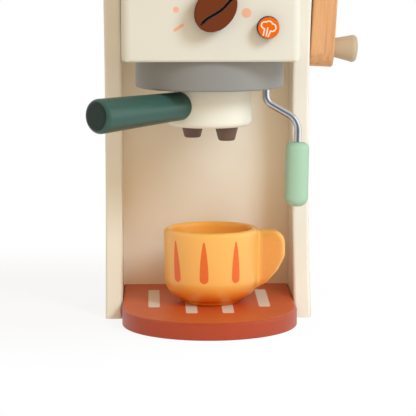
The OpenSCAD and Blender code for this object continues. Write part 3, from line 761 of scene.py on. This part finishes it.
def satin(name, code, roughness=0.42, marks=(), wear=0.14, turn=(0, 0, 0), shine=0.45):
    """Satin paint of a colour, with marks as (mask builder, colour code)."""
    coat = Coat(name)
    base = paint_chart(code)
    slow = noise(coat, DRIFT_SIZE, detail=3.0)
    colour = blend(coat, slow, shaded(base, 1 - DRIFT), shaded(base, 1 + DRIFT))
    for mask_of, mark_code in marks:
        ink = speckled(coat, paint_chart(mark_code))
        colour = blend(coat, mask_of(coat), colour, ink)
    colour = blend(coat, thin_edge(coat) * wear, colour, WORN)
    skin = noise(coat, SKIN_SIZE, rough=0.6)
    cloudy = noise(coat, CLOUD_SIZE)
    below = streaks(coat, turned_by(coat, turn), GRAIN_WIDTH, GRAIN_LENGTH)
    height = skin * SKIN_SHARE + below * GRAIN_SHARE
    coat.set(
        Base_Color=colour,
        Roughness=roughness + (cloudy - 0.5) * CLOUD_GLOSS + (skin - 0.5) * SKIN_GLOSS,
        Normal=relief(coat, height, SKIN_HEIGHT, soft_edge(coat, SOFT_WIDTH)),
        Specular_IOR_Level=shine,
    )
    return coat.material


# %% [markdown]
# ## Printed marks
#
# Stripes, dots and a sign are printed on the paint. They could be pictures
# wrapped on the boards, but here each one is a distance: a mark's edge is
# where the distance to its outline is nothing, and a step little more than a
# tenth of a millimetre wide makes that edge crisp but not jagged. Three
# shapes, a disc, a bar with round ends and a box with round corners, draw
# nearly all the marks, and all are worked out in millimetres.

# %% Distances for printed marks
INK_EDGE = 0.07


def inked(distance):
    """1 inside a mark, where the distance to its outline is below 0."""
    return 1 - distance.over(-INK_EDGE, INK_EDGE)


def length_of(u, v):
    """The length of the arrow that goes u across and v along."""
    square = u * u + v * v
    return square.math("SQRT", square)


def to_dot(u, v, middle, radius):
    """Distance from a disc in the plane of u and v."""
    return length_of(u - middle[0], v - middle[1]) - radius


def to_bar(u, v, start, end, radius):
    """Distance from a bar with round ends that runs from start to end."""
    run = Vector(end) - Vector(start)
    across, along = u - start[0], v - start[1]
    share = ((across * run.x + along * run.y) / run.length_squared).clamped(0.0, 1.0)
    return length_of(across - share * run.x, along - share * run.y) - radius


def to_box(u, v, middle, half, corner):
    """Distance from a box with round corners."""
    over_u = abs(u - middle[0]) - (half[0] - corner)
    over_v = abs(v - middle[1]) - (half[1] - corner)
    inside = over_u.most(over_v).least(0.0)
    return length_of(over_u.most(0.0), over_v.most(0.0)) + inside - corner


def nearest(distances):
    """The distance to whichever shape is nearest."""
    result = distances[0]
    for distance in distances[1:]:
        result = result.least(distance)
    return result


print("ink fades out over", 2 * INK_EDGE, "mm")

# %% [markdown]
# The base's upper face gets a lighter terracotta than its edge: painted light,
# for the stronger light that falls on the top than on the front. Four pale
# stripes on it stop short of its round front. The board round the bean has two
# dots and a short bar, as a dial. Each mark belongs to one face, so its mask
# fades out just behind that face. Without that, the stripes would show again on
# the underside, and the dial on the back of its board.

# %% Stripes of the base and marks of the dial
FADE_FROM, FADE_TO = 0.1, 0.3
STRIPE_HALF_WIDTH = 3.95
STRIPE_CORNER = 1.8
STRIPES = [(-38.4, -21, 47), (-12.7, -44, 47), (12.3, -44, 47), (38.3, -21, 47)]
BASE_TOP = 12.0
DIAL_DOTS = [((-23.1, 219.2), 2.0), ((22.7, 217.0), 3.2)]
DIAL_BAR = ((-23.9, 206.0), (-19.1, 209.1), 1.1)
FRONT_FACE = -78.0


def upper_face_painted_light_and_stripes(coat):
    """The base's upper face without its rounded edge: where its painted light goes, and
    where the stripes lie.
    """
    z = axes(coat)[2]
    return z.over(BASE_TOP - FADE_TO, BASE_TOP - FADE_FROM)


def base_stripes(coat):
    """Four pale stripes on the base's upper face only."""
    x, y = axes(coat)[:2]
    stripes = []
    for at, front, back in STRIPES:
        middle, half = (at, (front + back) / 2), (STRIPE_HALF_WIDTH, (back - front) / 2)
        stripes.append(to_box(x, y, middle, half, STRIPE_CORNER))
    return inked(nearest(stripes)) * upper_face_painted_light_and_stripes(coat)


def dial_marks(coat):
    """Peach dots and a bar round the bean, on the front face only."""
    x, y, z = axes(coat)
    marks = [to_dot(x, z, at, radius) for at, radius in DIAL_DOTS]
    marks.append(to_bar(x, z, *DIAL_BAR))
    face = 1 - y.over(FRONT_FACE + FADE_FROM, FRONT_FACE + FADE_TO)
    return inked(nearest(marks)) * face


print(len(STRIPES), "stripes and", len(DIAL_DOTS) + 1, "dial marks")

# %% [markdown]
# The button carries the usual sign for steam: a puffy cloud with three
# slanting strokes under it. The cloud is a few discs melted into one outline.
# Only the line itself is printed, and it is open below, where the strokes
# start. The side of the button is stained dark, so that the bright face
# stands out of the board.

# %% Steam sign
BUTTON_MIDDLE = (36.8, 207.5)
BUTTON_FACE = -86.5
LINE_HALF = 0.42
PUFFS = [((-2.6, 1.9), 2.2), ((0.1, 2.0), 2.5), ((2.25, 0.35), 2.45)]
STROKES = [
    ((-2.7, -0.5), (-3.6, -4.6)),
    ((-0.6, 0.2), (-1.7, -5.0)),
    ((1.1, -1.9), (-0.4, -5.5)),
]
CLOUD_GAP = ((-0.75, -2.7), (1.85, 3.9), 0.2)
SIGN_FADE = (0.2, 0.4)
SIDE_STAIN = (0.8, 1.1)


def steam_sign(coat):
    """White lines on the button's face."""
    x, y, z = axes(coat)
    u, v = x - BUTTON_MIDDLE[0], z - BUTTON_MIDDLE[1]
    cloud = abs(nearest([to_dot(u, v, at, radius) for at, radius in PUFFS])) - LINE_HALF
    cloud = cloud.most(-to_box(u, v, *CLOUD_GAP))
    strokes = [to_bar(u, v, start, end, LINE_HALF) for start, end in STROKES]
    face = 1 - y.over(BUTTON_FACE + SIGN_FADE[0], BUTTON_FACE + SIGN_FADE[1])
    return inked(cloud.least(nearest(strokes))) * face


def button_side(coat):
    """The button's side, from just behind its rounded edge."""
    y = axes(coat)[1]
    return y.over(BUTTON_FACE + SIDE_STAIN[0], BUTTON_FACE + SIDE_STAIN[1])


print("steam sign:", len(PUFFS), "puffs and", len(STROKES), "strokes")

# %% [markdown]
# The bean's groove was cut with a small straight bit and then stained much
# darker than the bean. The stain fills the groove and creeps a little over its
# edges. Its mask follows the formula by which the groove was cut, a slanting
# line with a sway, as a chain of short bars, so it can't slip out of the
# groove.

# %% Stain in the bean's groove
BEAN_MIDDLE = (2.5, 219.9)
BEAN_TILT = 52.5
GROOVE_ENDS = (-13.0, 12.0)
GROOVE_SHIFT = -2.0
GROOVE_TURN = -14.0
GROOVE_SWAY = 0.7
GROOVE_WAVE = 22.0
GROOVE_LOW = 1.5
GROOVE_BARS = 7
GROOVE_STAIN = 1.1


def groove_at(u):
    """The middle of the groove, u millimetres along the bean."""
    sway = GROOVE_SWAY * math.cos(2 * math.pi * (u - GROOVE_LOW) / GROOVE_WAVE)
    return u, GROOVE_SHIFT + u * math.tan(math.radians(GROOVE_TURN)) - sway


def groove_stain(coat):
    """The groove, a little wider than it was cut."""
    x, _, z = axes(coat)
    across, up = x - BEAN_MIDDLE[0], z - BEAN_MIDDLE[1]
    cos, sin = math.cos(math.radians(BEAN_TILT)), math.sin(math.radians(BEAN_TILT))
    u, v = across * cos + up * sin, up * cos - across * sin
    start, end = GROOVE_ENDS
    bar = (end - start) / GROOVE_BARS
    line = [groove_at(start + bar * i) for i in range(GROOVE_BARS + 1)]
    bars = [to_bar(u, v, a, b, GROOVE_STAIN) for a, b in zip(line, line[1:])]
    return inked(nearest(bars))


print("groove's stain:", GROOVE_BARS, "bars,", 2 * GROOVE_STAIN, "mm wide")

# %% [markdown]
# The green handle ends in a sawn face that looks to the front left, away from
# the big lamp, so the last half millimetre of the handle gets a deeper green:
# painted shade. The handle points to the front left, so the place along it is a
# sum of X and Y.

# %% End of the green handle
HANDLE_ROOT = (0.0, -23.5)
HANDLE_TURN = math.radians(45)
HANDLE_END = 106.6
END_SHADE = 0.5


def handle_end_painted_shade(coat):
    """The painted shade on the sawn end of the handle, measured along it from its root."""
    x, y = axes(coat)[:2]
    to_left, to_front = HANDLE_ROOT[0] - x, HANDLE_ROOT[1] - y
    along = to_left * math.sin(HANDLE_TURN) + to_front * math.cos(HANDLE_TURN)
    return along.over(HANDLE_END - END_SHADE, HANDLE_END)


print("deeper green from", HANDLE_END - END_SHADE, "mm along the handle")

# %% [markdown]
# ## The cup's drops and painted shade
#
# The cup wears long drops in a darker orange, three towards the front and
# three towards the back. A drop's half width grows quickly from a blunt tip,
# then ever more slowly, and a disc closes it below. The wall is round, so the
# distance across is an angle times the radius.

# %% Drops of the cup
CUP_MIDDLE = (2.0, 1.5)
CUP_RADIUS = 33.2
DROP_TIP, DROP_FOOT = 58.4, 29.7
DROP_HALF_WIDTH = 3.15
DROP_TIP_HALF = 0.6
WALL_FROM, WALL_FULL = 3.0, 2.4
FRONT_DROPS = [(-47.4, -0.06), (-10.7, 0.0), (29.0, 0.0)]
BACK_DROPS = [(180 - drop[0], 0.0) for drop in FRONT_DROPS]


def cup_drops(coat):
    """Drops on the outside of the cup's wall, at an angle and with a lean each."""
    x, y, z = axes(coat)
    across, along = x - CUP_MIDDLE[0], y - CUP_MIDDLE[1]
    out = length_of(across, along)
    angle = across.math("ARCTAN2", across, -along)
    distances = []
    low = DROP_FOOT + DROP_HALF_WIDTH
    for degrees, lean in FRONT_DROPS + BACK_DROPS:
        off = angle - math.radians(degrees)
        off = off.math("WRAP", off, math.pi, -math.pi) * CUP_RADIUS - (z - low) * lean
        rise = ((z - low) / (DROP_TIP - low)).clamped(0.0, 1.0)
        width = DROP_HALF_WIDTH - rise * rise * (DROP_HALF_WIDTH - DROP_TIP_HALF)
        cone = (abs(off) - width).most(low - z).most(z - DROP_TIP)
        distances.append(cone.least(to_dot(off, z, (0, low), DROP_HALF_WIDTH)))
    wall = out.over(CUP_RADIUS - WALL_FROM, CUP_RADIUS - WALL_FULL)
    return inked(nearest(distances)) * wall


print(len(FRONT_DROPS) + len(BACK_DROPS), "drops,", 2 * DROP_HALF_WIDTH, "mm wide")

# %% [markdown]
# Three deeper oranges on the cup are painted shade: on the foot and the turn of
# the belly above it, on the flat sides of the handle, and inside the bowl, where
# less light falls. On the handle the mask stops short of the rounded edges,
# which keep the paler orange as a painted highlight. Each of these is a soft
# mask, from the height, from the place across, or from the distance to the
# cup's axis.

# %% Painted shade of the cup
FOOT_SHADE_HEIGHTS = (15.0, 31.0)
EAR_FROM = (33.0, 39.0)
EAR_FLAT = (5.2, 6.7)
BOWL_EDGE = (27.8, 29.5)
BOWL_FLOOR = (18.0, 19.5)


def cup_foot_painted_shade(coat):
    """The foot and the turn of the belly, a deeper orange as painted shade."""
    z = axes(coat)[2]
    return 1 - z.over(*FOOT_SHADE_HEIGHTS)


def cup_ear_painted_shade(coat):
    """The flat sides of the handle, a deeper orange as painted shade."""
    x, y = axes(coat)[:2]
    return x.over(*EAR_FROM) * abs(y - CUP_MIDDLE[1]).over(*EAR_FLAT)


def cup_bowl_painted_shade(coat):
    """The inside of the cup, a deeper orange as painted shade."""
    x, y, z = axes(coat)
    out = length_of(x - CUP_MIDDLE[0], y - CUP_MIDDLE[1])
    return (1 - out.over(*BOWL_EDGE)) * z.over(*BOWL_FLOOR)


# The painted shade of the foot fades out at this height.
print("painted shade reaches up to", FOOT_SHADE_HEIGHTS[1], "mm above the floor")

# %% [markdown]
# ## Bare wood
#
# The crank's arm is oiled beech: warm, with fine straight grain, slightly
# darker lines every few millimetres, and the short dark flecks that give
# beech away. Dowels, axles and other turned rods are birch, which is paler
# and almost without figure. A picture of wood would have to be wrapped round
# each piece, while noise fills the whole solid, so that a sawn end shows the
# ends of the same lines. The grain runs along the piece, so its coordinates
# are turned until Z lies along the rod or board. Only the dowels and the block
# that are hidden inside the toy share one upright grain.

# %% Wood
FINE_SHARE, BROAD_SHARE, RING_SHARE = 0.7, 0.55, 0.25
RING_STEP = (0.42, 0.66)
FLECK_STEP = (0.66, 0.74)
FLECK_SHADE = 0.6
EDGE_RUB, EDGE_SHADE = 0.25, 1.15
PORE_SHARE, FLECK_DENT = 0.7, 0.3
PORE_DEPTH = 0.03
PORE_GLOSS = 0.2


def wood(name, pale_code, dark_code, turn, flecks=0.35, roughness=0.5):
    """Oiled wood with grain along the direction that turn brings to Z."""
    coat = Coat(name)
    pale, dark = paint_chart(pale_code), paint_chart(dark_code)
    along = turned_by(coat, turn)
    fine = streaks(coat, along, width_mm=0.45, length_mm=16, detail=4.0)
    broad = streaks(coat, along, width_mm=3.2, length_mm=110, detail=2.0)
    rings = streaks(coat, along, width_mm=1.3, length_mm=70).over(*RING_STEP)
    figure = (fine - 0.5) * FINE_SHARE + broad * BROAD_SHARE + rings * RING_SHARE
    colour = blend(coat, figure.clamped(0.0, 1.0), pale, dark)
    short = streaks(coat, along, width_mm=0.3, length_mm=2.6, detail=1.0)
    ticks = short.over(*FLECK_STEP) * flecks
    colour = blend(coat, ticks, colour, shaded(dark, FLECK_SHADE))
    colour = blend(coat, thin_edge(coat) * EDGE_RUB, colour, shaded(pale, EDGE_SHADE))
    pores = fine * PORE_SHARE + ticks * FLECK_DENT
    coat.set(
        Base_Color=colour,
        Roughness=roughness + (fine - 0.5) * PORE_GLOSS,
        Normal=relief(coat, 1 - pores, PORE_DEPTH, soft_edge(coat, SOFT_WIDTH)),
    )
    return coat.material


# %% [markdown]
# ## Metal and nylon
#
# The wand is bright drawn wire: the die leaves hair-fine lines along it, and
# the finish draws them upright. The screws and the bolt are zinc plated, which
# is greyer and a little blotchy. Washers, bushes and the button's flange are
# natural nylon, milky and smooth: a little light goes into it and comes out
# again near by. Flat grey and flat white would do from afar, but close up it
# is the uneven polish that tells metal from paint.

# %% Metal and nylon
METAL_ROUND = 0.2
BLOTCH_DETAIL, HAIR_DETAIL = 3.0, 2.0
HAIR_WIDTH, HAIR_LENGTH, HAIR_DEPTH = 0.15, 8, 0.004
BLOTCH_GLOSS, HAIR_GLOSS = 0.12, 0.1
NYLON_CLOUD, NYLON_DARK, NYLON_PALE = 5, 0.95, 1.03
NYLON_ROUGH, NYLON_GLOSS = 0.38, 0.1
NYLON_GRAIN, NYLON_DEPTH = 0.6, 0.006
NYLON_GLOW = 0.15
NYLON_REACH = (0.002, 0.0018, 0.0014)


def metal(name, code, roughness, blotch_mm, blotch):
    """Bare or plated metal with uneven polish."""
    coat = Coat(name)
    tone = paint_chart(code)
    cloud = noise(coat, blotch_mm, BLOTCH_DETAIL)
    hairs = streaks(coat, coat.place, HAIR_WIDTH, HAIR_LENGTH, HAIR_DETAIL)
    coat.set(
        Base_Color=blend(coat, cloud, shaded(tone, 1 - blotch), shaded(tone, 1 + blotch)),
        Metallic=1.0,
        Roughness=roughness + (cloud - 0.5) * BLOTCH_GLOSS + (hairs - 0.5) * HAIR_GLOSS,
        Normal=relief(coat, hairs, HAIR_DEPTH, soft_edge(coat, METAL_ROUND)),
    )
    return coat.material


def milky(name, code):
    """Natural nylon."""
    coat = Coat(name)
    tone = paint_chart(code)
    cloud = noise(coat, NYLON_CLOUD)
    grain = noise(coat, NYLON_GRAIN)
    coat.set(
        Base_Color=blend(coat, cloud, shaded(tone, NYLON_DARK), shaded(tone, NYLON_PALE)),
        Roughness=NYLON_ROUGH + (cloud - 0.5) * NYLON_GLOSS,
        Normal=relief(coat, grain, NYLON_DEPTH, soft_edge(coat, METAL_ROUND)),
        Subsurface_Weight=NYLON_GLOW,
        Subsurface_Radius=NYLON_REACH,
    )
    return coat.material


# %% [markdown]
# ## Who wears what
#
# Each node of the model gets its finish here. The boards are the same cream,
# but those that show most get a lighter or darker cream of their own: painted
# light and shade, which evens out how brightly the lamps light each board. The
# painted pieces come first, with their marks. A later mark lies over an earlier
# one.

# %% Painted pieces
finishes = {
    # The creams of the boards differ as painted light and shade.
    "left_side_panel": satin("cream_left_panel", "F0E7D1"),
    "right_side_panel": satin("cream_right_panel", "F2EBDA"),
    "back_panel": satin("cream_back_panel", "FCF0D8"),
    "housing_front": satin("cream_front_board", "DFD9C7", marks=[(dial_marks, "EDB392")]),
    "housing_floor": satin("cream_housing", "E2DBC9"),
    "base_board": satin(
        "terracotta", "B1421B", turn=(0, 90, 0),
        # The paler terracotta of the upper face is painted light.
        marks=[(upper_face_painted_light_and_stripes, "CE5A29"), (base_stripes, "E6D6C2")],
    ),
    "group_head": satin("grey", "8D8A84", roughness=0.55),
    "portafilter_body": satin("cream_portafilter", "EAE4D1"),
    "portafilter_handle": satin(
        "bottle_green", "37584E", roughness=0.3, shine=0.28, turn=(90, 0, 45),
        # The deeper green on the handle's end is painted shade.
        marks=[(handle_end_painted_shade, "14271F")],
    ),
    "left_spout": satin("spout_brown", "654A3B", roughness=0.5),
    "wand_grip": satin("mint", "A8CBAD", roughness=0.5),
    "steam_button": satin(
        "orange", "E56400", wear=0.3, shine=0.2,
        marks=[(steam_sign, "F3DFCB"), (button_side, "74260A")],
    ),
    "crank_knob": satin("latte", "C2AB8C", roughness=0.45, turn=(0, 90, 0)),
    "bean_knob": satin(
        "bean_brown", "6E351A", roughness=0.6, shine=0.08,
        marks=[(groove_stain, "241008")],
    ),
}
print(len(finishes), "painted finishes")

# %% [markdown]
# The cup has the most marks. Its two nodes are hidden, because the fused cup
# stands for them, but they get the stain too, so that no node is left out.

# %% Stain the cup
cup_paint = satin(
    "cup_orange", "FFBD5B", roughness=0.32, shine=0.6,
    marks=[
        # The first three marks are painted shade; the drops are the cup's own pattern.
        (cup_ear_painted_shade, "EB9E43"), (cup_bowl_painted_shade, "FFB047"), (cup_foot_painted_shade, "F08A22"),
        (cup_drops, "EE6A08"),
    ],
)
finishes["cup_body"] = cup_paint
finishes["cup_handle"] = cup_paint
cup.data.materials.append(cup_paint)
print("cup wears", cup_paint.name)

# %% [markdown]
# Wood, metal and nylon follow. Birch is needed with its grain in three
# directions, so there are three finishes of it, and the beech leans as the
# crank's arm does.

# %% Wood, metal and nylon pieces
BIRCH = {"pale_code": "E3C79C", "dark_code": "C49E6C", "flecks": 0.1}
finishes["crank_arm"] = wood("beech", "E6B07C", "BB7B46", turn=(0, -3.2, 0))
finishes["frame_dowels"] = wood("birch_upright", turn=(0, 0, 0), **BIRCH)
finishes["crank_axle"] = wood("birch_across", turn=(0, 90, 0), **BIRCH)
finishes["bean_shaft"] = wood("birch_to_front", turn=(90, 0, 0), **BIRCH)
finishes["wand_wire"] = metal("drawn_wire", "B9BABD", 0.17, blotch_mm=20, blotch=0.05)
finishes["pivot_bolt"] = metal("zinc", "C3C5C3", 0.36, blotch_mm=4, blotch=0.1)
finishes["crank_bush"] = milky("nylon", "F1EFE6")
wand.data.materials.append(finishes["wand_wire"])
print(len(finishes), "nodes finished so far")

# %% [markdown]
# The other nodes share the finish of a node of the same kind: what was sawn,
# turned or bought together looks the same.

# %% Pieces that share a finish
same_as = {
    "housing_floor": ["housing_left_cheek", "housing_right_cheek", "housing_top"],
    "left_spout": ["right_spout"],
    "frame_dowels": ["spring_block", "handle_dowel"],
    "crank_axle": ["crank_collar"],
    "bean_shaft": ["bean_retainer"],
    "wand_wire": ["button_spring"],
    "pivot_bolt": ["pivot_nut", "group_head_screws", "knob_screw", "wand_retainer"],
    "crank_bush": ["pivot_washer", "button_flange", "crank_spacer"],
}
for first, others in same_as.items():
    for other in others:
        finishes[other] = finishes[first]
print(len(finishes), "nodes finished in all")

# %% [markdown]
# A ready-made piece keeps its mesh. Only what lies in its material slots
# changes, and a node that was forgotten above would be named here.

# %% Put the finishes on
for name, material in finishes.items():
    for slot in nodes[name].material_slots:
        slot.material = material
print("left over:", sorted(set(nodes) - set(finishes)))
